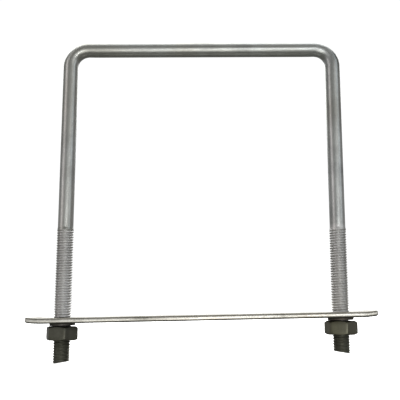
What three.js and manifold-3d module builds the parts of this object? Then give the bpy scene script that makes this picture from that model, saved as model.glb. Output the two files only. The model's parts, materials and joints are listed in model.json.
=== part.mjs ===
// Long square-bend U-bolt clamp set: a bent round rod with two threaded legs, a flat strap
// plate across the legs, and a split spring washer and a hexagon nut under the plate on each leg.
//
// Units are millimetres. +Z is square to the plate, towards the crossbar, and X runs along the plate.
// The origin is on the plate's upper face, midway between the two holes. The right nut is drawn up
// further than the left, so the rod with its nuts leans a little out of square with the plate.

import * as THREE from 'three';
import { mergeVertices } from 'three/addons/utils/BufferGeometryUtils.js';
import Module from 'manifold-3d';

// U-bolt
const LEG_SPACING = 163;
const SHANK_DIAMETER = 9.2;
const THREAD_DIAMETER = 9.9;
const THREAD_PITCH = 1.5;
const BEND_RADIUS = 11;
const BAR_HEIGHT = 163.6;
const THREAD_TOP = 51.5;
const THREAD_RUN_OUT_SINK = 0.1;
const LEFT_LEG_DROP = 27.3;
const RIGHT_LEG_DROP = 21.3;
const SHEAR_ANGLE = THREE.MathUtils.degToRad(8);
const OUT_OF_SQUARE = THREE.MathUtils.degToRad(1.2);

// Strap plate
const PLATE_THICKNESS = 3.2;
const PLATE_WIDTH = 30;
const PLATE_OVERHANG = 18.4;
const PLATE_FLAT_OVERHANG = 9;
const PLATE_END_LIFT = 0.7;
const PLATE_CORNER_RADIUS = 1.5;
const PLATE_HOLE_DIAMETER = 11;

// Spring washers and nuts
const SEAT_GAP = 0.05;
const WASHER_THICKNESS = 1.6;
const WASHER_OUTER_DIAMETER = 15;
const WASHER_INNER_DIAMETER = 10.5;
const WASHER_SPLIT = 1.2;
const LEFT_SPLIT_ANGLE = THREE.MathUtils.degToRad(68);
const RIGHT_SPLIT_ANGLE = THREE.MathUtils.degToRad(118);
const NUT_ACROSS_FLATS = 17;
const NUT_HEIGHT = 8;
const NUT_BORE_DIAMETER = 10.5;
const NUT_COUNTERSINK_DIAMETER = 11.4;
const NUT_CHAMFER_ANGLE = THREE.MathUtils.degToRad(30);
const NUT_FACE_DIAMETER = 16.2;
const LEFT_NUT_TURN = THREE.MathUtils.degToRad(-8);
const RIGHT_NUT_TURN = THREE.MathUtils.degToRad(-18);

// Facets
const ROD_SIDES = 28;
const BEND_STEPS = 12;
const ROUND_SIDES = 36;

const LEG_X = LEG_SPACING / 2;
const WASHER_TOP = -PLATE_THICKNESS - SEAT_GAP;
const NUT_TOP = WASHER_TOP - WASHER_THICKNESS - SEAT_GAP;

const wasm = await Module();
wasm.setup();

// The x at which a leg's axis passes a height z over the plate.
function legAxisX(legX, z) {
  return legX / Math.cos(OUT_OF_SQUARE) + z * Math.tan(OUT_OF_SQUARE);
}

// The height along a leg at which its axis passes a height z over the plate.
function heightOnLeg(legX, z) {
  return z / Math.cos(OUT_OF_SQUARE) + legX * Math.tan(OUT_OF_SQUARE);
}

// A closed three.js geometry as a solid that can be cut and joined.
function solidFrom(geometry) {
  const bare = geometry.clone();
  bare.deleteAttribute('normal');
  bare.deleteAttribute('uv');
  const merged = mergeVertices(bare, 1e-4);
  return new wasm.Manifold(new wasm.Mesh({
    numProp: 3,
    vertProperties: new Float32Array(merged.attributes.position.array),
    triVerts: new Uint32Array(merged.index.array),
  }));
}

// A solid back as a three.js geometry with flat-shaded normals.
function geometryFrom(solid) {
  const { vertProperties, triVerts } = solid.getMesh();
  const geometry = new THREE.BufferGeometry();
  geometry.setAttribute('position', new THREE.BufferAttribute(vertProperties, 3));
  geometry.setIndex(new THREE.BufferAttribute(triVerts, 1));
  const flat = geometry.toNonIndexed();
  flat.computeVertexNormals();
  return flat;
}

function namedMesh(name, geometry, finish) {
  const mesh = new THREE.Mesh(geometry, new THREE.MeshStandardMaterial(finish));
  mesh.name = name;
  return mesh;
}

// A turned profile in (radius, height) pairs, revolved about an upright axis at the given x.
function revolve(profile, x = 0, sides = ROUND_SIDES) {
  const points = profile.map(([radius, height]) => new THREE.Vector2(radius, height));
  const geometry = new THREE.LatheGeometry(points, sides);
  geometry.rotateX(Math.PI / 2);
  geometry.translate(x, 0, 0);
  return solidFrom(geometry);
}

// A circular arc in the XZ plane.
class UprightArc extends THREE.Curve {
  constructor(centreX, centreZ, radius, startAngle, endAngle) {
    super();
    Object.assign(this, { centreX, centreZ, radius, startAngle, endAngle });
  }

  getPoint(t, target = new THREE.Vector3()) {
    const angle = THREE.MathUtils.lerp(this.startAngle, this.endAngle, t);
    const x = this.centreX + this.radius * Math.cos(angle);
    const z = this.centreZ + this.radius * Math.sin(angle);
    return target.set(x, 0, z);
  }
}

// Curves end to end, where each run gets its own number of steps.
class SteppedPath extends THREE.Curve {
  constructor(runs) {
    super();
    this.runs = runs;
    this.steps = runs.reduce((sum, run) => sum + run.steps, 0);
  }

  getUtoTmapping(u) {
    return u;
  }

  getPoint(t, target = new THREE.Vector3()) {
    let remaining = t * this.steps;
    const last = this.runs.length - 1;
    for (let i = 0; i < last; i += 1) {
      const run = this.runs[i];
      if (remaining <= run.steps) {
        return run.curve.getPoint(remaining / run.steps, target);
      }
      remaining -= run.steps;
    }
    return this.runs[last].curve.getPoint(remaining / this.runs[last].steps, target);
  }
}

// The rod's centreline: up the left leg, across the bar and down the right leg.
function rodPath(bottom) {
  const bendZ = BAR_HEIGHT - BEND_RADIUS;
  const barX = LEG_X - BEND_RADIUS;
  const at = (x, z) => new THREE.Vector3(x, 0, z);
  return new SteppedPath([
    { curve: new THREE.LineCurve3(at(-LEG_X, bottom), at(-LEG_X, bendZ)), steps: 1 },
    { curve: new UprightArc(-barX, bendZ, BEND_RADIUS, Math.PI, Math.PI / 2), steps: BEND_STEPS },
    { curve: new THREE.LineCurve3(at(-barX, BAR_HEIGHT), at(barX, BAR_HEIGHT)), steps: 1 },
    { curve: new UprightArc(barX, bendZ, BEND_RADIUS, Math.PI / 2, 0), steps: BEND_STEPS },
    { curve: new THREE.LineCurve3(at(LEG_X, bendZ), at(LEG_X, bottom)), steps: 1 },
  ]);
}

function circleShape(diameter, sides) {
  const points = Array.from({ length: sides }, (_, i) => {
    const angle = (2 * Math.PI * i) / sides;
    return new THREE.Vector2(Math.cos(angle), Math.sin(angle)).multiplyScalar(diameter / 2);
  });
  return new THREE.Shape(points);
}

// A block whose upper face shears a leg end obliquely, lowest on the leg's outer side.
function shearBlock(side, drop) {
  const size = 4 * THREAD_DIAMETER;
  const geometry = new THREE.BoxGeometry(size, size, size);
  geometry.translate(0, 0, -size / 2);
  geometry.rotateY(side * SHEAR_ANGLE);
  geometry.translate(side * LEG_X, 0, -drop);
  return solidFrom(geometry);
}

// The threaded stretch of a leg at its full outside diameter, with the run-out at its top.
function threadedStretch(x, bottom) {
  const radius = THREAD_DIAMETER / 2;
  const core = SHANK_DIAMETER / 2 - THREAD_RUN_OUT_SINK;
  return revolve([[0, bottom], [radius, bottom], [radius, THREAD_TOP - THREAD_PITCH],
    [core, THREAD_TOP], [0, THREAD_TOP]], x, ROD_SIDES);
}

// The bent rod with its sheared leg ends.
function uBolt() {
  const spare = THREAD_DIAMETER;
  const bottom = -Math.max(LEFT_LEG_DROP, RIGHT_LEG_DROP) - spare;
  const path = rodPath(bottom);
  const shank = new THREE.ExtrudeGeometry(circleShape(SHANK_DIAMETER, ROD_SIDES), {
    extrudePath: path,
    steps: path.steps,
    bevelEnabled: false,
  });
  let rod = solidFrom(shank);
  for (const side of [-1, 1]) {
    rod = rod.add(threadedStretch(side * LEG_X, bottom));
    rod = rod.subtract(shearBlock(side, side < 0 ? LEFT_LEG_DROP : RIGHT_LEG_DROP));
  }
  return geometryFrom(rod);
}

// The strap seen from its long side: flat between the legs, with both ends set slightly up.
function plateProfile() {
  const end = LEG_X + PLATE_OVERHANG;
  const flat = LEG_X + PLATE_FLAT_OVERHANG;
  const middle = (end + flat) / 2;
  const under = -PLATE_THICKNESS;
  const shape = new THREE.Shape();
  shape.moveTo(-end, PLATE_END_LIFT + under);
  shape.quadraticCurveTo(-middle, under, -flat, under);
  shape.lineTo(flat, under);
  shape.quadraticCurveTo(middle, under, end, PLATE_END_LIFT + under);
  shape.lineTo(end, PLATE_END_LIFT);
  shape.quadraticCurveTo(middle, 0, flat, 0);
  shape.lineTo(-flat, 0);
  shape.quadraticCurveTo(-middle, 0, -end, PLATE_END_LIFT);
  return shape;
}

// The strap seen from above, with its four corners rounded.
function plateOutline() {
  const r = PLATE_CORNER_RADIUS;
  const x = LEG_X + PLATE_OVERHANG - r;
  const y = PLATE_WIDTH / 2 - r;
  const shape = new THREE.Shape();
  shape.absarc(x, -y, r, -Math.PI / 2, 0);
  shape.absarc(x, y, r, 0, Math.PI / 2);
  shape.absarc(-x, y, r, Math.PI / 2, Math.PI);
  shape.absarc(-x, -y, r, Math.PI, 1.5 * Math.PI);
  shape.closePath();
  return shape;
}

function clampPlate() {
  const depth = PLATE_WIDTH + 2;
  const strap = new THREE.ExtrudeGeometry(plateProfile(), { depth, bevelEnabled: false, curveSegments: 4 });
  strap.rotateX(Math.PI / 2);
  strap.translate(0, depth / 2, 0);
  const reach = PLATE_THICKNESS + PLATE_END_LIFT + 1;
  const outline = new THREE.ExtrudeGeometry(plateOutline(), {
    depth: 2 * reach,
    bevelEnabled: false,
    curveSegments: 4,
  });
  outline.translate(0, 0, -reach);
  let plate = solidFrom(strap).intersect(solidFrom(outline));
  for (const side of [-1, 1]) {
    const hole = PLATE_HOLE_DIAMETER / 2;
    const x = legAxisX(side * LEG_X, -PLATE_THICKNESS / 2);
    plate = plate.subtract(revolve([[0, -reach], [hole, -reach], [hole, reach], [0, reach]], x));
  }
  return geometryFrom(plate);
}

// A split ring pressed flat, with its split centred on the given angle.
function springWasher(splitAngle) {
  const outer = WASHER_OUTER_DIAMETER / 2;
  const inner = WASHER_INNER_DIAMETER / 2;
  const outerHalf = WASHER_SPLIT / 2 / outer;
  const innerHalf = WASHER_SPLIT / 2 / inner;
  const ring = new THREE.Shape();
  ring.absarc(0, 0, outer, splitAngle + outerHalf, splitAngle + 2 * Math.PI - outerHalf, false);
  ring.absarc(0, 0, inner, splitAngle + 2 * Math.PI - innerHalf, splitAngle + innerHalf, true);
  return new THREE.ExtrudeGeometry(ring, {
    depth: WASHER_THICKNESS,
    bevelEnabled: false,
    curveSegments: ROUND_SIDES / 2,
  });
}

// The two cones that chamfer the nut's corners at both faces, with its height from 0 up.
function nutChamfers() {
  const face = NUT_FACE_DIAMETER / 2;
  const corner = NUT_ACROSS_FLATS / Math.sqrt(3) + 1;
  const slope = (corner - face) * Math.tan(NUT_CHAMFER_ANGLE);
  return revolve([[0, 0], [face, 0], [corner, slope], [corner, NUT_HEIGHT - slope],
    [face, NUT_HEIGHT], [0, NUT_HEIGHT]]);
}

// The thread's bore with a countersink at both faces.
function nutBore() {
  const bore = NUT_BORE_DIAMETER / 2;
  const sink = NUT_COUNTERSINK_DIAMETER / 2;
  const depth = sink - bore;
  return revolve([[0, -1], [sink + 1, -1], [bore, depth], [bore, NUT_HEIGHT - depth],
    [sink + 1, NUT_HEIGHT + 1], [0, NUT_HEIGHT + 1]]);
}

// A hexagon nut standing on height 0, with one flat facing -Y.
function hexNut() {
  const hexagon = circleShape((2 * NUT_ACROSS_FLATS) / Math.sqrt(3), 6);
  const prism = new THREE.ExtrudeGeometry(hexagon, { depth: NUT_HEIGHT, bevelEnabled: false });
  return geometryFrom(solidFrom(prism).intersect(nutChamfers()).subtract(nutBore()));
}

// One leg's washer, flat against the plate's underside.
function placedWasher(name, legX, splitAngle) {
  const darkZinc = { color: 0x4b4743, roughness: 0.5, metalness: 0.9 };
  const washer = namedMesh(name, springWasher(splitAngle), darkZinc);
  const z = WASHER_TOP - WASHER_THICKNESS;
  washer.position.set(legAxisX(legX, z + WASHER_THICKNESS / 2), 0, z);
  return washer;
}

// One leg's nut, square to its leg, with the high side of its face against the washer.
function placedNut(name, legX, turn) {
  const nut = namedMesh(name, hexNut(), { color: 0x55554d, roughness: 0.5, metalness: 0.9 });
  const faceCentre = NUT_TOP - (NUT_FACE_DIAMETER / 2) * Math.sin(OUT_OF_SQUARE);
  nut.position.set(legX, 0, heightOnLeg(legX, faceCentre) - NUT_HEIGHT);
  nut.rotation.z = turn;
  return nut;
}

const leaning = new THREE.Group();
leaning.rotation.y = OUT_OF_SQUARE;
leaning.add(namedMesh('u_bolt', uBolt(), { color: 0x8f8f8c, roughness: 0.42, metalness: 0.9 }));
leaning.add(placedNut('left_nut', -LEG_X, LEFT_NUT_TURN));
leaning.add(placedNut('right_nut', LEG_X, RIGHT_NUT_TURN));

const clampSet = new THREE.Group();
clampSet.add(leaning);
clampSet.add(namedMesh('clamp_plate', clampPlate(), { color: 0xb4b2a8, roughness: 0.38, metalness: 0.9 }));
clampSet.add(placedWasher('left_spring_washer', -LEG_X, LEFT_SPLIT_ANGLE));
clampSet.add(placedWasher('right_spring_washer', LEG_X, RIGHT_SPLIT_ANGLE));

export default clampSet;
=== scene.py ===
"""Square-bend U-bolt clamp set: looks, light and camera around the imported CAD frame. Metres, +Z up."""

import json
import math

import bpy
import numpy as np
from mathutils import Matrix, Vector


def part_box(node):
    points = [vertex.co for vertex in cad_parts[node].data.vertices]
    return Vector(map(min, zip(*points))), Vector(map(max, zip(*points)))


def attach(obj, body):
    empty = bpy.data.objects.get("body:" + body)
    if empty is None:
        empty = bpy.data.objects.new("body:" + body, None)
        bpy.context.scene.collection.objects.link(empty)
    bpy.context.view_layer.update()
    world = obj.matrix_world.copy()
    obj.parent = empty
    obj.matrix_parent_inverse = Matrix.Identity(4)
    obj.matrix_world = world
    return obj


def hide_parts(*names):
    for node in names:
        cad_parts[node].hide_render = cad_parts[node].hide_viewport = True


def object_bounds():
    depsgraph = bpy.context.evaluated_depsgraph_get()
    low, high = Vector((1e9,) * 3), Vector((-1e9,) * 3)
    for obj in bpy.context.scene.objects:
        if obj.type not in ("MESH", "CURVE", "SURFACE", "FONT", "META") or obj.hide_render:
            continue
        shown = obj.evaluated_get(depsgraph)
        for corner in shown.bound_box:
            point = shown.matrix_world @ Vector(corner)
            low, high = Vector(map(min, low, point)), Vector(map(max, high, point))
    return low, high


MM = 0.001

# Rod
SHANK_RADIUS = 4.6 * MM
SHANK_STEP = 3 * MM
ROD_SIDES = 56

# Thread, where flats over 1 widen the crests and roots of a sine wave
THREAD_RADIUS = 4.95 * MM
THREAD_PITCH = 1.5 * MM
THREAD_DEPTH = 0.56 * MM
THREAD_FLATS = 1.1
THREAD_TOP = 51.5 * MM
THREAD_FADE = 2.2 * THREAD_PITCH
RUN_OUT = 1.5 * MM
RINGS_PER_PITCH = 12
FINE_RINGS_TOP = THREAD_TOP + 2 * MM

# Leg ends: each ring of an end face has a share of the rim's size and a depth above it
SHEAR_ANGLE = math.radians(8)
SHEAR_BLEND = 7 * MM
END_RINGS = ((0.955, 0.0), (0.8, 0.18 * MM), (0.45, 0.22 * MM))
END_HOLLOW = 0.2 * MM

# Bends, with angles in degrees: 0 where the leg meets the bend and 90 where the bar does
BEND_RADIUS = 11 * MM
BEND_STEPS = 28
BEND_MIDDLE = 45
BEND_SPREAD = 32
BEND_FLATTENING = 0.28 * MM
BEND_BULGE = 0.12 * MM
DENT_ANGLES = (-6, 96)
DENT_SPREAD = 7
DENT_DEPTH = 0.35 * MM
DENT_EDGE = 0.35
DENT_POWER = 1.2

# Plate
PLATE_EDGE = 1.1 * MM
PLATE_FLAT_OVERHANG = 9 * MM
PLATE_END_STATIONS = 8
PLATE_FLAT_STATIONS = 40
HOLE_RADIUS = 5.5 * MM
HOLE_EDGE = 0.25 * MM
HOLE_SIDES = 64
CUTTER_REACH = 1 * MM

# Washers
WASHER_INNER = 5.25 * MM
WASHER_OUTER = 7.5 * MM
WASHER_SPLIT = 1.2 * MM
WASHER_SLANT = 0.9 * MM
WASHER_EDGE = 0.28 * MM
WASHER_SPRING = 0.16 * MM
WASHER_STEPS = 88
SPLIT_ANGLES = {"left": math.radians(68), "right": math.radians(118)}

# Nuts
NUT_FLATS = 17 * MM
NUT_FACE_RADIUS = 8.1 * MM
NUT_CHAMFER = math.radians(30)
NUT_BORE = 5.25 * MM
NUT_SINK = 5.7 * MM
NUT_CORNER_TRIM = 0.15 * MM
NUT_CORNER_BLEND = 0.12 * MM
NUT_EDGE = 0.18 * MM
NUT_RELIEF = 0.02 * MM
NUT_THREAD_DEPTH = 0.25 * MM
NUT_ANGLES = 120
NUT_TURNS = {"left": math.radians(-8), "right": math.radians(-18)}

# Zinc coat: how many cells of each noise fit in a metre
CLOUDS = 38
HUES = 21
SPECKS = 420
GRAIN = 1500
SOOT = (0.02, 0.02, 0.02)
GRIME = (0.05, 0.045, 0.035)

# Heights at which the rod's looks change, including where painted shade darkens it under the plate and nuts
# painted shade on the rod: deepest at the low height, gone at the high one
PAINTED_SHADE_LOW = -12 * MM
PAINTED_SHADE_HIGH = -4 * MM
# painted shade: below this height the thread's paleness is gone under the plate
THREAD_SHADE_LOW = -8 * MM
THREAD_LOOK_TOP = THREAD_TOP + 0.5 * MM
THREAD_LOOK_FULL = THREAD_TOP - 1 * MM
THREAD_BRIGHTNESS = 0.6

# Studio
FLOOR_REACH = 20.0
FLOOR_GAP = 0.2 * MM
WHITE = (1, 1, 1, 1)
WHITE_STRENGTH = 1.05
ROOM_TONES = (
    (0.0, (0.24, 0.24, 0.22)),
    (0.34, (0.27, 0.27, 0.245)),
    (0.49, (0.54, 0.535, 0.53)),
    (0.6, (0.58, 0.57, 0.57)),
    (0.7, (0.26, 0.26, 0.22)),
    (0.8, (0.28, 0.28, 0.25)),
    (0.9, (0.6, 0.6, 0.6)),
)
ROOM_FRONT_STRENGTH = 1.0
ROOM_BACK_STRENGTH = 0.8

# Camera
CAMERA_AT = Vector((3.6, -387.5, 4.3)) * MM
CAMERA_AZIMUTH = math.radians(0.435)
CAMERA_ELEVATION = math.radians(9.361)
CAMERA_ROLL = math.radians(-1.18)
CAMERA_LENS = 58.55
CAMERA_SENSOR = 36


# ---------------------------------------------------------------- meshes


def link_object(name, data):
    """A new object in the scene."""
    obj = bpy.data.objects.new(name, data)
    bpy.context.scene.collection.objects.link(obj)
    return obj


def shade(mesh, sharp):
    """Smooth faces, sharp where they meet past an angle in degrees."""
    mesh.polygons.foreach_set("use_smooth", [True] * len(mesh.polygons))
    mesh.set_sharp_from_angle(angle=math.radians(sharp))


def mesh_object(name, verts, faces, uvs=None, sharp=40):
    """A shaded mesh object, with a UV map when a place in it is given for each vertex."""
    mesh = bpy.data.meshes.new(name)
    mesh.from_pydata([tuple(v) for v in verts], [], faces)
    mesh.validate()
    if uvs is not None:
        layer = mesh.uv_layers.new(name="surface")
        index = np.zeros(len(mesh.loops), np.int32)
        mesh.loops.foreach_get("vertex_index", index)
        layer.data.foreach_set("uv", np.asarray(uvs, np.float32)[index].ravel())
    shade(mesh, sharp)
    return link_object(name, mesh)


def ring_faces(rings, sides, closed_along=False):
    """Quads between closed rings that follow each other."""
    faces = []
    for i in range(rings if closed_along else rings - 1):
        a, b = i * sides, (i + 1) % rings * sides
        for k in range(sides):
            n = (k + 1) % sides
            faces.append((a + k, a + n, b + n, b + k))
    return faces


def closed_tube(rings, sides):
    """The faces of a row of rings, wound the other way round, with a flat face over each end."""
    faces = [face[::-1] for face in ring_faces(rings, sides)]
    faces.append(tuple(range(sides)))
    faces.append(tuple((rings - 1) * sides + k for k in reversed(range(sides))))
    return faces


def smooth(t):
    """An even step from 0 to 1 with level ends."""
    t = np.clip(t, 0.0, 1.0)
    return t * t * (3 - 2 * t)


# ---------------------------------------------------------------- rod


def rod_line(leg_x, bar_z, bottoms):
    """The rod's centreline from the left end to the right in the XZ plane: points, tangents, lengths."""
    bend_z = bar_z - BEND_RADIUS
    bar_x = leg_x - BEND_RADIUS
    fine = THREAD_PITCH / RINGS_PER_PITCH
    points, tangents = [], []

    def run(start, end, spacing):
        count = max(2, round((end - start).length / spacing))
        for i in range(count):
            points.append(start.lerp(end, i / count))
            tangents.append((end - start).normalized())

    def bend(centre_x, first, last):
        for i in range(BEND_STEPS):
            a = first + (last - first) * i / BEND_STEPS
            x = centre_x + BEND_RADIUS * math.cos(a)
            z = bend_z + BEND_RADIUS * math.sin(a)
            points.append(Vector((x, 0, z)))
            tangents.append(Vector((math.sin(a), 0, -math.cos(a))))

    def on_leg(side, z):
        return Vector((side * leg_x, 0, z))

    run(on_leg(-1, bottoms[0]), on_leg(-1, FINE_RINGS_TOP), fine)
    run(on_leg(-1, FINE_RINGS_TOP), on_leg(-1, bend_z), SHANK_STEP)
    bend(-bar_x, math.pi, math.pi / 2)
    run(Vector((-bar_x, 0, bar_z)), Vector((bar_x, 0, bar_z)), SHANK_STEP)
    bend(bar_x, math.pi / 2, 0)
    run(on_leg(1, bend_z), on_leg(1, FINE_RINGS_TOP), SHANK_STEP)
    run(on_leg(1, FINE_RINGS_TOP), on_leg(1, bottoms[1]), fine)
    points.append(on_leg(1, bottoms[1]))
    tangents.append(Vector((0, 0, -1)))
    lengths = np.concatenate([[0], np.cumsum([(b - a).length for a, b in zip(points, points[1:])])])
    return points, tangents, lengths


def thread_radius(z, angle):
    """The radius of a right-hand thread at a height and an angle about the leg, with its run-out."""
    phase = (z / THREAD_PITCH - angle / (2 * math.pi)) % 1.0
    slope = np.clip((1 - 2 * np.abs(2 * phase - 1)) * THREAD_FLATS, -1, 1)
    wave = np.sin(slope * math.pi / 2)
    depth = THREAD_DEPTH * smooth((THREAD_TOP - z) / THREAD_FADE)
    cut = THREAD_RADIUS - depth * (1 - wave) / 2
    shoulder = smooth((THREAD_TOP - z) / RUN_OUT)
    return SHANK_RADIUS + (cut - SHANK_RADIUS) * shoulder


def threaded_ring(p, ring_dir, bottoms):
    """A ring of a threaded leg, tilted more and more towards the sheared end."""
    side = math.copysign(1, p[0])
    bottom = bottoms[0] if side < 0 else bottoms[1]
    tilt = smooth((bottom + SHEAR_BLEND - p[2]) / SHEAR_BLEND)
    drop = -side * ring_dir[:, 0] * THREAD_RADIUS * math.tan(SHEAR_ANGLE) * tilt
    height = p[2] + drop
    radius = thread_radius(height, np.arctan2(ring_dir[:, 1], ring_dir[:, 0]))
    ring = p + ring_dir * radius[:, None]
    ring[:, 2] = height
    return ring


def bend_angle(p, side, bar_x, bend_z):
    """How far round its bend a point of the centreline is, in degrees, carried on along leg and bar."""
    if p[2] < bend_z:
        return math.degrees((p[2] - bend_z) / BEND_RADIUS)
    if abs(p[0]) < bar_x:
        return 90 + math.degrees((bar_x - abs(p[0])) / BEND_RADIUS)
    return math.degrees(math.atan2(p[2] - bend_z, (p[0] - side * bar_x) * side))


def bell(offset, spread):
    return math.exp(-((offset / spread) ** 2))


def bend_marks(p, ring_dir, leg_x, bar_z):
    """The flattened outside of a bend, its bulging sides and the dents of the bending die inside it."""
    bend_z, bar_x = bar_z - BEND_RADIUS, leg_x - BEND_RADIUS
    side = math.copysign(1, p[0])
    turn = bend_angle(p, side, bar_x, bend_z)
    inwards = np.array((side * bar_x, 0, bend_z)) - p
    inner = ring_dir @ (inwards / np.linalg.norm(inwards))
    middle = bell(turn - BEND_MIDDLE, BEND_SPREAD)
    flat = -BEND_FLATTENING * middle * np.clip(-inner, 0, 1) ** 2
    bulge = -BEND_BULGE * middle * (1 - inner**2)
    press = sum(bell(turn - at, DENT_SPREAD) for at in DENT_ANGLES)
    dents = -DENT_DEPTH * press * np.clip(inner - DENT_EDGE, 0, 1) ** DENT_POWER
    return flat + bulge + dents


def make_rod(leg_x, bar_z, bottoms):
    """The whole rod upright: its vertices, faces and a UV map that runs along it."""
    angle = 2 * math.pi * np.arange(ROD_SIDES) / ROD_SIDES
    across = np.array((0.0, 1.0, 0.0))
    verts, uvs = [], []
    for point, tangent, length in zip(*rod_line(leg_x, bar_z, bottoms)):
        p = np.array(point)
        out = np.cross(across, np.array(tangent))
        ring_dir = np.outer(np.cos(angle), out) + np.outer(np.sin(angle), across)
        if p[2] < FINE_RINGS_TOP:
            ring = threaded_ring(p, ring_dir, bottoms)
        else:
            radius = SHANK_RADIUS + bend_marks(p, ring_dir, leg_x, bar_z)
            ring = p + ring_dir * radius[:, None]
        verts.append(ring)
        uvs.append(np.column_stack([angle * SHANK_RADIUS, np.full(ROD_SIDES, length)]) / (100 * MM))
    faces = ring_faces(len(verts), ROD_SIDES)
    return cap_rod(np.concatenate(verts), faces, np.concatenate(uvs))


def cap_rod(verts, faces, uvs):
    """Closes both rod ends with a sheared face: a burred rim and a slightly hollow middle."""
    for first, flip in ((0, True), (len(verts) - ROD_SIDES, False)):
        rim = verts[first : first + ROD_SIDES]
        centre = rim.mean(0)
        ring = first
        for share, depth in END_RINGS:
            start = len(verts)
            verts = np.vstack([verts, centre + (rim - centre) * share + (0, 0, depth)])
            uvs = np.vstack([uvs, uvs[first : first + ROD_SIDES]])
            for k in range(ROD_SIDES):
                n = (k + 1) % ROD_SIDES
                quad = (ring + k, ring + n, start + n, start + k)
                faces.append(quad[::-1] if flip else quad)
            ring = start
        verts = np.vstack([verts, centre + (0, 0, END_HOLLOW)])
        uvs = np.vstack([uvs, uvs[first]])
        for k in range(ROD_SIDES):
            tri = (ring + k, ring + (k + 1) % ROD_SIDES, len(verts) - 1)
            faces.append(tri[::-1] if flip else tri)
    return verts, faces, uvs


# ---------------------------------------------------------------- nuts and washers


def hexagon_radii(angle):
    """The radius of the nut's hexagon at each angle, with its corners slightly rounded."""
    from_flat = (angle + math.pi / 2) % (math.pi / 3)
    from_flat = np.minimum(from_flat, math.pi / 3 - from_flat)
    hexagon = NUT_FLATS / 2 / np.cos(from_flat)
    limit = NUT_FLATS / math.sqrt(3) - NUT_CORNER_TRIM
    return limit - np.log1p(np.exp((limit - hexagon) / NUT_CORNER_BLEND)) * NUT_CORNER_BLEND


def nut_outside(height, angle):
    """The nut's outside from its lower countersink to its upper one: a radius and a height per ring."""
    hexagon = hexagon_radii(angle)
    slope = np.clip(hexagon - NUT_FACE_RADIUS, 0, None) * math.tan(NUT_CHAMFER)
    face = np.minimum(hexagon - NUT_RELIEF, NUT_FACE_RADIUS)
    lower = [
        (NUT_SINK, 0),
        ((NUT_SINK + NUT_FACE_RADIUS) / 2, 0),
        (face - NUT_EDGE, 0),
        (face, 0.3 * NUT_EDGE),
        (hexagon - 0.35 * NUT_EDGE, slope + NUT_RELIEF),
        (hexagon, slope + NUT_EDGE),
    ]
    flats = height - 2 * slope - 2 * NUT_EDGE
    middle = [(hexagon, slope + NUT_EDGE + flats * share) for share in (0.33, 0.67)]
    upper = [(radius, height - z) for radius, z in reversed(lower)]
    return lower + middle + upper


def nut_bore(height, angle):
    """The threaded bore from the upper countersink down to the lower one."""
    sink = NUT_SINK - NUT_BORE
    steps = 5 * round((height - 2 * sink) / THREAD_PITCH)
    rings = []
    for i in range(steps + 1):
        z = height - sink - (height - 2 * sink) * i / steps
        phase = (z / THREAD_PITCH - angle / (2 * math.pi)) % 1.0
        rings.append((NUT_BORE + NUT_THREAD_DEPTH * (1 - np.cos(2 * math.pi * phase)) / 2, z))
    return rings


def make_nut(name, centre, bottom, top, turn):
    """A chamfered hexagon nut with a threaded bore, as rings that follow the hexagon."""
    angle = 2 * math.pi * np.arange(NUT_ANGLES) / NUT_ANGLES
    even = np.ones(NUT_ANGLES)
    rings = []
    for radius, z in nut_outside(top - bottom, angle) + nut_bore(top - bottom, angle):
        rings.append(np.column_stack([radius * np.cos(angle), radius * np.sin(angle), z * even]))
    c, s = math.cos(turn), math.sin(turn)
    spun = np.concatenate(rings) @ np.array(((c, s, 0), (-s, c, 0), (0, 0, 1)))
    faces = ring_faces(len(rings), NUT_ANGLES, closed_along=True)
    return mesh_object(name, spun + (centre.x, centre.y, bottom), faces, sharp=24)


def washer_section(height):
    """The washer's rounded rectangular section: a radius and a height per point."""
    corners = (
        (WASHER_OUTER - WASHER_EDGE, height - WASHER_EDGE, 0),
        (WASHER_INNER + WASHER_EDGE, height - WASHER_EDGE, 90),
        (WASHER_INNER + WASHER_EDGE, WASHER_EDGE, 180),
        (WASHER_OUTER - WASHER_EDGE, WASHER_EDGE, 270),
    )
    section = []
    for r, z, start in corners:
        for i in range(4):
            a = math.radians(start + 30 * i)
            section.append((r + WASHER_EDGE * math.cos(a), z + WASHER_EDGE * math.sin(a)))
    return np.array(section)


def make_washer(name, centre, bottom, top, split):
    """A split spring washer with a slanting cut, its ends sprung slightly apart within its thickness."""
    height = top - bottom
    section = washer_section(height)
    half = WASHER_SPLIT / 2 / section[:, 0]
    slant = WASHER_SLANT * (section[:, 1] / height - 0.5) / section[:, 0]
    first, last = split + half, split + 2 * math.pi - half
    level = section[:, 1] * (height - 2 * WASHER_SPRING) / height + WASHER_SPRING
    rings = []
    for i in range(WASHER_STEPS + 1):
        share = i / WASHER_STEPS
        a = first + (last - first) * share + slant
        z = level + WASHER_SPRING * (2 * share - 1)
        rings.append(np.column_stack([section[:, 0] * np.cos(a), section[:, 0] * np.sin(a), z]))
    faces = closed_tube(len(rings), len(section))
    return mesh_object(name, np.concatenate(rings) + (centre.x, centre.y, bottom), faces, sharp=35)


# ---------------------------------------------------------------- plate


def apply_modifiers(obj):
    """Turns what an object's modifiers make into its own mesh."""
    graph = bpy.context.evaluated_depsgraph_get()
    mesh = bpy.data.meshes.new_from_object(obj.evaluated_get(graph))
    obj.modifiers.clear()
    old, obj.data = obj.data, mesh
    bpy.data.meshes.remove(old)


def strap_blank(name, xs, half_y, bottoms, tops):
    """A strap as a row of boxes joined end to end."""
    verts, faces = [], []
    for x, low, high in zip(xs, bottoms, tops):
        verts += [(x, -half_y, low), (x, half_y, low), (x, half_y, high), (x, -half_y, high)]
    for i in range(len(xs) - 1):
        a, b = 4 * i, 4 * i + 4
        for k in range(4):
            n = (k + 1) % 4
            faces.append((a + k, b + k, b + n, a + n))
    end = 4 * (len(xs) - 1)
    faces += [(0, 1, 2, 3), (end + 3, end + 2, end + 1, end)]
    return mesh_object(name, verts, faces)


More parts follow.
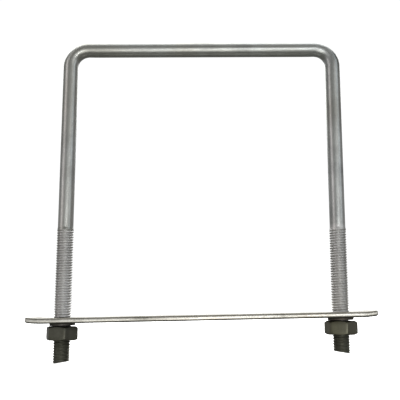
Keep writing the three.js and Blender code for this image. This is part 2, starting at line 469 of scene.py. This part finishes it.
def hole_cutter(hole_x, thick):
    """The shape of a drilled hole with softened rims, reaching past both faces of the plate."""
    upper = [
        (HOLE_RADIUS + CUTTER_REACH, CUTTER_REACH),
        (HOLE_RADIUS + HOLE_EDGE, 0),
        (HOLE_RADIUS + 0.3 * HOLE_EDGE, -0.4 * HOLE_EDGE),
        (HOLE_RADIUS, -1.2 * HOLE_EDGE),
    ]
    profile = upper + [(radius, -thick - z) for radius, z in reversed(upper)]
    turns = [2 * math.pi * i / HOLE_SIDES for i in range(HOLE_SIDES)]
    verts = [(hole_x + r * math.cos(a), r * math.sin(a), z) for r, z in profile for a in turns]
    mesh = bpy.data.meshes.new("hole")
    mesh.from_pydata(verts, [], closed_tube(len(profile), HOLE_SIDES))
    return link_object("hole", mesh)


def make_plate(lo, hi, leg_x, hole_xs, lift):
    """The strap: rolled edges, drilled holes and both ends set slightly up."""
    flat = leg_x + PLATE_FLAT_OVERHANG
    left_end = np.linspace(-hi.x, -flat, PLATE_END_STATIONS)
    middle = np.linspace(-flat, flat, PLATE_FLAT_STATIONS)[1:-1]
    right_end = np.linspace(flat, hi.x, PLATE_END_STATIONS)
    xs = np.concatenate([left_end, middle, right_end])
    rise = lift * np.clip((np.abs(xs) - flat) / (hi.x - flat), 0, 1) ** 2
    thick = hi.z - lo.z - lift
    plate = strap_blank("strap_plate", xs, hi.y, rise - thick, rise)
    bevel = plate.modifiers.new("edges", "BEVEL")
    bevel.width, bevel.segments, bevel.limit_method = PLATE_EDGE, 4, "ANGLE"
    bevel.angle_limit = math.radians(50)
    apply_modifiers(plate)
    cutters = [hole_cutter(hole_x, thick) for hole_x in hole_xs]
    for cutter in cutters:
        cut = plate.modifiers.new("hole", "BOOLEAN")
        cut.operation, cut.object, cut.solver = "DIFFERENCE", cutter, "EXACT"
    apply_modifiers(plate)
    for cutter in cutters:
        bpy.data.objects.remove(cutter)
    shade(plate.data, 28)
    return plate


# ---------------------------------------------------------------- materials


class Nodes:
    """A node tree, with short calls for the nodes used here."""

    def __init__(self, tree):
        self.tree = tree

    def new(self, kind, **values):
        node = self.tree.nodes.new(kind)
        for key, value in values.items():
            if hasattr(node, key):
                setattr(node, key, value)
            else:
                node.inputs[key.replace("_", " ")].default_value = value
        return node

    def feed(self, source, socket):
        """Gives a socket another node's output, a colour or a number."""
        if hasattr(source, "is_output"):
            self.tree.links.new(source, socket)
        else:
            socket.default_value = (*source, 1) if isinstance(source, tuple) else source

    def noise(self, vector, scale, detail, rough, distortion=0.0):
        values = {"Scale": scale, "Detail": detail, "Roughness": rough, "Distortion": distortion}
        node = self.new("ShaderNodeTexNoise", **values)
        self.feed(vector, node.inputs["Vector"])
        return node.outputs["Fac"]

    def stretch(self, vector, scale):
        node = self.new("ShaderNodeMapping", Scale=scale)
        self.feed(vector, node.inputs["Vector"])
        return node.outputs["Vector"]

    def split(self, vector):
        node = self.new("ShaderNodeSeparateXYZ")
        self.feed(vector, node.inputs[0])
        return node.outputs

    def ramp(self, fac, stops):
        node = self.new("ShaderNodeValToRGB")
        points = node.color_ramp.elements
        while len(points) < len(stops):
            points.new(0.5)
        for point, (at, colour) in zip(points, stops):
            point.position, point.color = at, (*colour, 1)
        self.feed(fac, node.inputs["Fac"])
        return node.outputs["Color"]

    def mix(self, fac, a, b):
        node = self.new("ShaderNodeMix", data_type="RGBA")
        for source, socket in ((fac, node.inputs[0]), (a, node.inputs[6]), (b, node.inputs[7])):
            self.feed(source, socket)
        return node.outputs[2]

    def span(self, fac, low, high, to_low=0.0, to_high=1.0):
        node = self.new("ShaderNodeMapRange")
        for source, socket in zip((fac, low, high, to_low, to_high), node.inputs):
            self.feed(source, socket)
        return node.outputs[0]

    def maths(self, operation, *values):
        node = self.new("ShaderNodeMath", operation=operation)
        for source, socket in zip(values, node.inputs):
            self.feed(source, socket)
        return node.outputs[0]

    def bump(self, height, strength, distance, under=None):
        node = self.new("ShaderNodeBump", Strength=strength, Distance=distance)
        self.feed(height, node.inputs["Height"])
        if under is not None:
            self.feed(under, node.inputs["Normal"])
        return node.outputs["Normal"]


class Material(Nodes):
    """A material's node tree and its shader."""

    def __init__(self, name):
        self.material = bpy.data.materials.new(name)
        self.material.use_nodes = True
        super().__init__(self.material.node_tree)
        self.shader = self.tree.nodes["Principled BSDF"]

    def use_on(self, obj):
        obj.data.materials.clear()
        obj.data.materials.append(self.material)


class Zinc(Material):
    """Zinc-coated steel: cloudy tone, drawn or rolled streaks, fine grain, scratches and grime."""

    def __init__(self, name, pale, deep, warm, stretch, rough=(0.34, 0.52), grime=0.5, uv=False):
        super().__init__(name)
        coords = self.new("ShaderNodeTexCoord")
        self.place, self.facing = coords.outputs["Object"], coords.outputs["Normal"]
        along = self.stretch(coords.outputs["UV"] if uv else self.place, stretch)
        self.streaks = self.noise(along, 1.0, 6, 0.62)
        self.grain = self.noise(self.place, GRAIN, 3, 0.6)
        self.specks = self.noise(self.place, SPECKS, 5, 0.7)
        self.gloss = self.span(self.streaks, 0.3, 0.72, rough[1], rough[0])
        self.tone = self.coat_tone(pale, deep, warm, grime)

    def coat_tone(self, pale, deep, warm, grime):
        clouds = self.noise(self.place, CLOUDS, 5, 0.6)
        hue = self.noise(self.place, HUES, 3, 0.5, 0.4)
        tone = self.ramp(self.span(clouds, 0.33, 0.67), ((0.0, deep), (0.55, pale), (1.0, pale)))
        tone = self.mix(self.span(hue, 0.42, 0.66, 0.0, 0.75), tone, warm)
        tone = self.mix(self.span(self.streaks, 0.3, 0.7, 0.45, 0.0), tone, deep)
        tone = self.mix(self.span(self.grain, 0.35, 0.65, 0.16, 0.0), tone, SOOT)
        return self.mix(self.span(self.specks, 0.62, 0.74, 0.0, grime), tone, GRIME)

    def shade_rounded_edges(self, colour):
        """Paints shade on the parts of a strap's edge that turn up or down, and on its faces a little."""
        flatness = self.maths("ABSOLUTE", self.split(self.facing)["Z"])
        stops = ((0.1, 0.0), (0.5, 0.9), (0.93, 0.9), (0.99, 0.25))
        shade_amount = self.ramp(flatness, [(at, (value,) * 3) for at, value in stops])
        self.tone = self.mix(shade_amount, self.tone, colour)

    def paint_shade_under_plate(self, colour):
        """Darkens what is below the nuts with painted shade, fading out up towards the plate that keeps the
        light off it.
        """
        height = self.split(self.place)["Z"]
        self.tone = self.mix(self.span(height, PAINTED_SHADE_LOW, PAINTED_SHADE_HIGH, 0.85, 0.0), self.tone, colour)

    def whiten_thread(self, colour, rougher):
        """Makes the thread paler and more matt than the shank; under the plate the paleness fades out as
        painted shade.
        """
        height = self.split(self.place)["Z"]
        threaded = self.span(height, THREAD_LOOK_TOP, THREAD_LOOK_FULL)
        # painted shade: the pale thread is faded out under the plate
        out_of_plate_shade = self.span(height, THREAD_SHADE_LOW, 0.0, 0.0, THREAD_BRIGHTNESS)
        self.gloss = self.maths("MULTIPLY_ADD", threaded, rougher, self.gloss)
        self.tone = self.mix(self.maths("MULTIPLY", threaded, out_of_plate_shade), self.tone, colour)

    def finish(self, metallic=0.9):
        """Joins tone, gloss and surface relief to the shader."""
        self.feed(self.tone, self.shader.inputs["Base Color"])
        roughness = self.maths("MULTIPLY_ADD", self.specks, 0.16, self.gloss)
        self.feed(roughness, self.shader.inputs["Roughness"])
        self.feed(metallic, self.shader.inputs["Metallic"])
        normal = self.bump(self.specks, 0.25, 0.05 * MM)
        normal = self.bump(self.streaks, 0.16, 0.03 * MM, normal)
        normal = self.bump(self.grain, 0.2, 0.02 * MM, normal)
        self.feed(normal, self.shader.inputs["Normal"])
        return self


def rod_zinc():
    steel = Zinc(
        "galvanised_rod",
        pale=(0.455, 0.47, 0.465),
        deep=(0.24, 0.25, 0.25),
        warm=(0.4, 0.395, 0.36),
        stretch=(260, 9, 1),
        rough=(0.2, 0.32),
        grime=0.45,
        uv=True,
    )
    # painted shade: the rod below the plate and nuts darkened in its colour
    steel.paint_shade_under_plate((0.085, 0.085, 0.06))
    # the thread's own paler, more matt tone, with painted shade under the plate
    steel.whiten_thread((0.58, 0.57, 0.575), 0.07)
    return steel.finish(metallic=1.0)


def plate_zinc():
    steel = Zinc(
        "plate_steel",
        pale=(0.72, 0.71, 0.67),
        deep=(0.2, 0.195, 0.17),
        warm=(0.52, 0.48, 0.42),
        stretch=(25, 700, 700),
        rough=(0.2, 0.34),
    )
    # painted shade: dark lines along the strap's edges that turn up or down, and a little on its faces
    steel.shade_rounded_edges((0.07, 0.065, 0.05))
    return steel.finish()


def washer_zinc():
    steel = Zinc(
        "washer_steel",
        pale=(0.16, 0.15, 0.14),
        deep=(0.06, 0.055, 0.05),
        warm=(0.12, 0.1, 0.08),
        stretch=(200, 200, 500),
        grime=0.7,
    )
    return steel.finish()


def nut_zinc():
    steel = Zinc(
        "nut_steel",
        pale=(0.15, 0.15, 0.125),
        deep=(0.07, 0.07, 0.055),
        warm=(0.12, 0.115, 0.07),
        stretch=(140, 140, 40),
        rough=(0.26, 0.4),
        grime=0.6,
    )
    return steel.finish()


# ---------------------------------------------------------------- studio


def paper_floor(z):
    """A wide pale floor that is seen, but stays out of reflections, bounced light and shadows."""
    mesh = bpy.data.meshes.new("floor")
    corners = [(x * FLOOR_REACH, y * FLOOR_REACH, 0) for x, y in ((-1, -1), (1, -1), (1, 1), (-1, 1))]
    mesh.from_pydata(corners, [], [(0, 1, 2, 3)])
    obj = link_object("floor", mesh)
    obj.location.z = z
    paper = Material("paper")
    paper.shader.inputs["Base Color"].default_value = (0.9, 0.9, 0.9, 1)
    paper.shader.inputs["Roughness"].default_value = 0.9
    paper.shader.inputs["Specular IOR Level"].default_value = 0.1
    paper.shader.inputs["Emission Color"].default_value = WHITE
    paper.shader.inputs["Emission Strength"].default_value = WHITE_STRENGTH
    paper.use_on(obj)
    obj.visible_glossy = False
    obj.visible_diffuse = False
    obj.visible_shadow = False
    return obj


def studio_world():
    """White behind the object and, for its light and reflections, grey tones that change with height."""
    world = bpy.data.worlds.new("studio")
    world.use_nodes = True
    bpy.context.scene.world = world
    world.node_tree.nodes.clear()
    n = Nodes(world.node_tree)
    towards = n.split(n.new("ShaderNodeTexCoord").outputs["Generated"])
    room = n.new("ShaderNodeBackground")
    n.feed(n.ramp(n.span(towards["Z"], -1.0, 1.0), ROOM_TONES), room.inputs["Color"])
    strength = n.span(towards["Y"], -0.3, -0.1, ROOM_FRONT_STRENGTH, ROOM_BACK_STRENGTH)
    n.feed(strength, room.inputs["Strength"])
    white = n.new("ShaderNodeBackground", Color=WHITE, Strength=WHITE_STRENGTH)
    blend = n.new("ShaderNodeMixShader")
    n.feed(n.new("ShaderNodeLightPath").outputs["Is Camera Ray"], blend.inputs[0])
    n.feed(room.outputs[0], blend.inputs[1])
    n.feed(white.outputs[0], blend.inputs[2])
    n.feed(blend.outputs[0], n.new("ShaderNodeOutputWorld").inputs["Surface"])


def softbox(name, azimuth, elevation, distance, size, radiance, colour, aim=(0, 0, 0.07)):
    """A rectangular light that faces the object. Azimuth 0 is the camera's side, and it grows towards +X."""
    light = bpy.data.lights.new(name, "AREA")
    light.shape = "RECTANGLE"
    light.size, light.size_y = size
    light.energy, light.color = 4 * size[0] * size[1] * radiance, colour
    obj = link_object(name, light)
    a, e = math.radians(azimuth), math.radians(elevation)
    away = Vector((math.sin(a) * math.cos(e), -math.cos(a) * math.cos(e), math.sin(e)))
    obj.location = Vector(aim) + away * distance
    obj.rotation_euler = away.to_track_quat("Z", "Y").to_euler()
    obj.visible_camera = False


def studio_lights():
    softbox("left_softbox", -59, 20, 1.1, (0.5, 0.8), 0.95, (1.0, 0.92, 0.92))
    softbox("right_softbox", 61, 20, 1.1, (0.42, 0.8), 0.85, (0.87, 0.95, 1.0))
    softbox("right_fill", 33, 15, 1.2, (0.45, 0.45), 0.8, (1.0, 0.99, 0.96))
    softbox("front_bounce", -4, -21, 1.2, (0.46, 0.66), 2.1, (1.0, 0.985, 0.93), aim=(0, 0, 0.05))
    softbox("plate_strip", 12, 0, 1.2, (0.56, 0.12), 8.5, (0.98, 1.0, 1.0), aim=(0, 0, 0))
    softbox("overhead", 180, 60, 1.2, (1.8, 2.2), 2.2, (1.0, 1.0, 0.99))


def studio_camera():
    """A camera low in front of the object, turned, tilted up and rolled by the camera's angles."""
    data = bpy.data.cameras.new("camera")
    data.lens = CAMERA_LENS
    data.sensor_width = CAMERA_SENSOR
    data.clip_start, data.clip_end = 0.01, 50
    camera = link_object("camera", data)
    az, el = CAMERA_AZIMUTH, CAMERA_ELEVATION
    forward = Vector((-math.sin(az) * math.cos(el), math.cos(az) * math.cos(el), math.sin(el)))
    level = Vector((math.cos(az), math.sin(az), 0))
    upright = level.cross(forward)
    right = math.cos(CAMERA_ROLL) * level + math.sin(CAMERA_ROLL) * upright
    up = math.cos(CAMERA_ROLL) * upright - math.sin(CAMERA_ROLL) * level
    turn = Matrix((right, up, -forward)).transposed().to_4x4()
    camera.matrix_world = Matrix.Translation(CAMERA_AT) @ turn
    return camera


# ---------------------------------------------------------------- build

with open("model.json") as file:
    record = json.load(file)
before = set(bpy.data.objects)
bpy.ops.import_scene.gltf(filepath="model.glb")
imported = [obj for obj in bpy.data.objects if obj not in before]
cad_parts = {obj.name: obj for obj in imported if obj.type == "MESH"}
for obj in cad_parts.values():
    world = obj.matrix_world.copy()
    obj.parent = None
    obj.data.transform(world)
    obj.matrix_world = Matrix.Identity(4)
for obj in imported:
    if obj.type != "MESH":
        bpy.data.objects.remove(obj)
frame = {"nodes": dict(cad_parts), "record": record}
cad_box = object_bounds()

joints = {joint["name"]: joint for joint in frame["record"]["behaviour"]["joints"]}
travel = Vector(joints["left_washer_travel"]["axis"])
lean = math.atan2(travel.x, travel.z)
LEAN = Matrix.Rotation(lean, 4, "Y")
leg_x = Vector(joints["right_nut_turn"]["pos_m"]).length
plate_lo, plate_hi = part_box("clamp_plate")


def upright_points(name):
    """A CAD node's points with the rod's lean taken out, so that its legs stand along Z."""
    back = LEAN.inverted()
    return [back @ v.co for v in frame["nodes"][name].data.vertices]


def leg_end(side):
    """The middle height of a leg's sheared end, along the leg."""
    heights = [p.z for p in upright_points("u_bolt") if p.x * side > 0 and p.z < 0]
    return (min(heights) + max(heights)) / 2


def leg_axis_x(side, z):
    """The x at which a leaning leg's axis passes a height z over the plate."""
    return side * leg_x / math.cos(lean) + z * math.tan(lean)


bar_z = max(p.z for p in upright_points("u_bolt")) - SHANK_RADIUS
bottoms = (leg_end(-1), leg_end(1))
rod = mesh_object("bent_rod", *make_rod(leg_x, bar_z, bottoms), sharp=50)
rod.data.transform(LEAN)
rod_zinc().use_on(rod)
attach(rod, "u_bolt")
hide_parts("u_bolt")

lift = plate_hi.z
middle_z = (plate_lo.z + plate_hi.z - lift) / 2
hole_xs = [leg_axis_x(side, middle_z) for side in (-1, 1)]
plate = make_plate(plate_lo, plate_hi, leg_x, hole_xs, lift)
plate_zinc().use_on(plate)
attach(plate, "plate")
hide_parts("clamp_plate")

washer_steel = washer_zinc()
nut_steel = nut_zinc()
for side, sign in (("left", -1), ("right", 1)):
    lo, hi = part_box(f"{side}_spring_washer")
    centre = Vector((leg_axis_x(sign, (lo.z + hi.z) / 2), 0, 0))
    washer = make_washer(f"{side}_lock_washer", centre, lo.z, hi.z, SPLIT_ANGLES[side])
    washer_steel.use_on(washer)
    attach(washer, f"{side}_washer")
    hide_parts(f"{side}_spring_washer")
    heights = [p.z for p in upright_points(f"{side}_nut")]
    centre = Vector((sign * leg_x, 0, 0))
    nut = make_nut(f"{side}_hex_nut", centre, min(heights), max(heights), NUT_TURNS[side])
    nut.data.transform(LEAN)
    nut_steel.use_on(nut)
    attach(nut, f"{side}_nut")
    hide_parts(f"{side}_nut")

floor = paper_floor(cad_box[0].z - FLOOR_GAP)
studio_world()
studio_lights()
bpy.context.scene.camera = studio_camera()
bpy.context.scene.view_settings.view_transform = "Standard"
